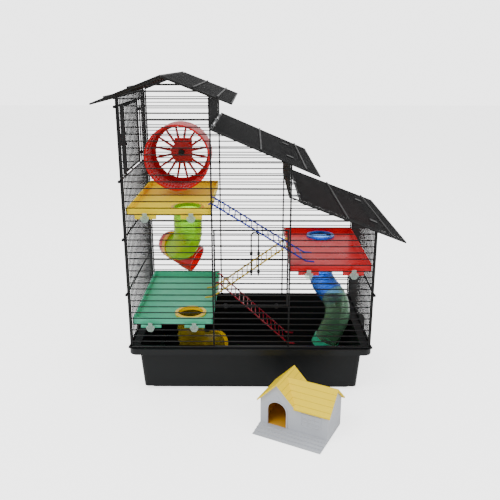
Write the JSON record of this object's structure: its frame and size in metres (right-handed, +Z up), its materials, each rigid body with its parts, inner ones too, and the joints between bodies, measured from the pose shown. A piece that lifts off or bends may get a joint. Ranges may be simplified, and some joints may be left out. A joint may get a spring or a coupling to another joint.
{
  "type": "hamster cage",
  "caption": "Stepped wire pet cage on a moulded tray, with gable and lift-up roofs, doors, lipped floors, clear tubes, ladders, a running wheel and a small hut.",
  "frame": {"origin": "middle of the flat underside of the tray, on the floor", "axes": "+Z up, +X along the width toward the low right-hand roof, -Y to the front with the door and the hut"},
  "size_m": [0.5475, 0.5081, 0.6095],
  "materials": {
    "tray_black": "gloss",
    "wire_black": "gloss",
    "bright_steel": "polished",
    "clip_black": "satin",
    "clip_white": "satin",
    "red_plastic": "gloss",
    "yellow_plastic": "gloss",
    "green_plastic": "gloss",
    "amber_clear": "gloss",
    "lime_clear": "gloss",
    "red_clear": "gloss",
    "yellow_clear": "gloss",
    "blue_clear": "gloss",
    "green_clear": "gloss",
    "mint_plastic": "gloss",
    "ladder_blue": "gloss",
    "ladder_yellow": "gloss",
    "ladder_red": "gloss",
    "hut_white": "satin",
    "hut_yellow": "satin"
  },
  "bodies": {
    "cage": {"tray": "tray_black", "front_wall": "wire_black", "back_wall": "wire_black", "left_wall": "wire_black", "right_wall": "wire_black", "tower_step_wall": "wire_black", "middle_step_wall": "wire_black", "tower_roof_left": "wire_black", "tower_roof_right": "wire_black", "roof_hinge_rings": "bright_steel", "front_door_hinge_rings": "wire_black", "side_door_hinge_rings": "wire_black", "tray_clip_pins": "bright_steel", "wheel_bracket": "red_plastic", "wheel_clamp_knob": "red_plastic", "wheel_axle_cap": "clip_black", "yellow_floor": "yellow_plastic", "green_floor": "green_plastic", "red_floor": "red_plastic", "yellow_floor_clips": "clip_white", "green_floor_clips": "clip_white", "red_floor_clips": "clip_white", "lime_tube_ring": "amber_clear", "lime_tube": "lime_clear", "amber_tube_collar": "amber_clear", "red_tube": "red_clear", "yellow_tube_ring": "yellow_clear", "yellow_tube": "yellow_clear", "blue_tube_ring": "blue_clear", "blue_tube": "blue_clear", "green_tube": "green_clear", "mint_tube_collar": "mint_plastic"},
    "middle_roof": {"middle_roof": "wire_black", "middle_roof_tabs": "wire_black"},
    "right_roof": {"right_roof": "wire_black", "right_roof_tabs": "wire_black"},
    "front_door": {"front_door": "wire_black"},
    "front_latch": {"front_door_latch": "wire_black"},
    "side_door": {"side_door": "wire_black"},
    "side_latch": {"side_door_latch": "wire_black"},
    "left_clip": {"left_tray_clip": "clip_black"},
    "right_clip": {"right_tray_clip": "clip_black"},
    "wheel": {"wheel_drum": "red_plastic"},
    "blue_ladder": {"blue_ladder": "ladder_blue"},
    "yellow_ladder": {"yellow_ladder": "ladder_yellow"},
    "red_ladder": {"red_ladder": "ladder_red"},
    "hut": {"hut_walls": "hut_white"},
    "hut_lid": {"hut_roof": "hut_yellow"}
  },
  "joints": [
    {"name": "wheel_spin", "type": "hinge", "parent": "cage", "child": "wheel", "pos_m": [-0.14944, 0.1, 0.44355], "axis": [0, 1, 0], "continuous": true},
    {"name": "middle_roof_hinge", "type": "hinge", "parent": "cage", "child": "middle_roof", "pos_m": [-0.06588, 0, 0.52], "axis": [0, -1, 0], "range_deg": [0, 65]},
    {"name": "right_roof_hinge", "type": "hinge", "parent": "cage", "child": "right_roof", "pos_m": [0.08812, 0, 0.395], "axis": [0, -1, 0], "range_deg": [0, 52]},
    {"name": "front_door_hinge", "type": "hinge", "parent": "cage", "child": "front_door", "pos_m": [0.00137, -0.1446, 0.19005], "axis": [1, 0, 0], "range_deg": [0, 95]},
    {"name": "front_latch_slide", "type": "slide", "parent": "front_door", "child": "front_latch", "axis": [0, 0, -1], "range_m": [0, 0.01]},
    {"name": "side_door_hinge", "type": "hinge", "parent": "cage", "child": "side_door", "pos_m": [-0.2372, 0.0852, 0.49], "axis": [0, 0, -1], "range_deg": [0, 120]},
    {"name": "side_latch_slide", "type": "slide", "parent": "side_door", "child": "side_latch", "axis": [0, 1, 0], "range_m": [0, 0.008]},
    {"name": "left_clip_hinge", "type": "hinge", "parent": "cage", "child": "left_clip", "pos_m": [-0.2385, 0, 0.094], "axis": [0, -1, 0], "range_deg": [0, 45]},
    {"name": "right_clip_hinge", "type": "hinge", "parent": "cage", "child": "right_clip", "pos_m": [0.2385, 0, 0.094], "axis": [0, 1, 0], "range_deg": [0, 45]},
    {"name": "blue_ladder_tilt", "type": "hinge", "parent": "cage", "child": "blue_ladder", "pos_m": [-0.0742, -0.07668, 0.37405], "axis": [0, -1, 0], "range_deg": [0, 20]},
    {"name": "yellow_ladder_tilt", "type": "hinge", "parent": "cage", "child": "yellow_ladder", "pos_m": [0.07557, 0.0071, 0.26605], "axis": [0, 1, 0], "range_deg": [0, 8]},
    {"name": "red_ladder_tilt", "type": "hinge", "parent": "cage", "child": "red_ladder", "pos_m": [-0.0742, 0.0852, 0.15805], "axis": [0, -1, 0], "range_deg": [0, 12]},
    {"name": "hut_lift", "type": "slide", "parent": "cage", "child": "hut", "axis": [0, 0, 1], "range_m": [0, 0.03]},
    {"name": "hut_roof_lift", "type": "slide", "parent": "hut", "child": "hut_lid", "axis": [0, 0, 1], "range_m": [0, 0.04]}
  ]
}
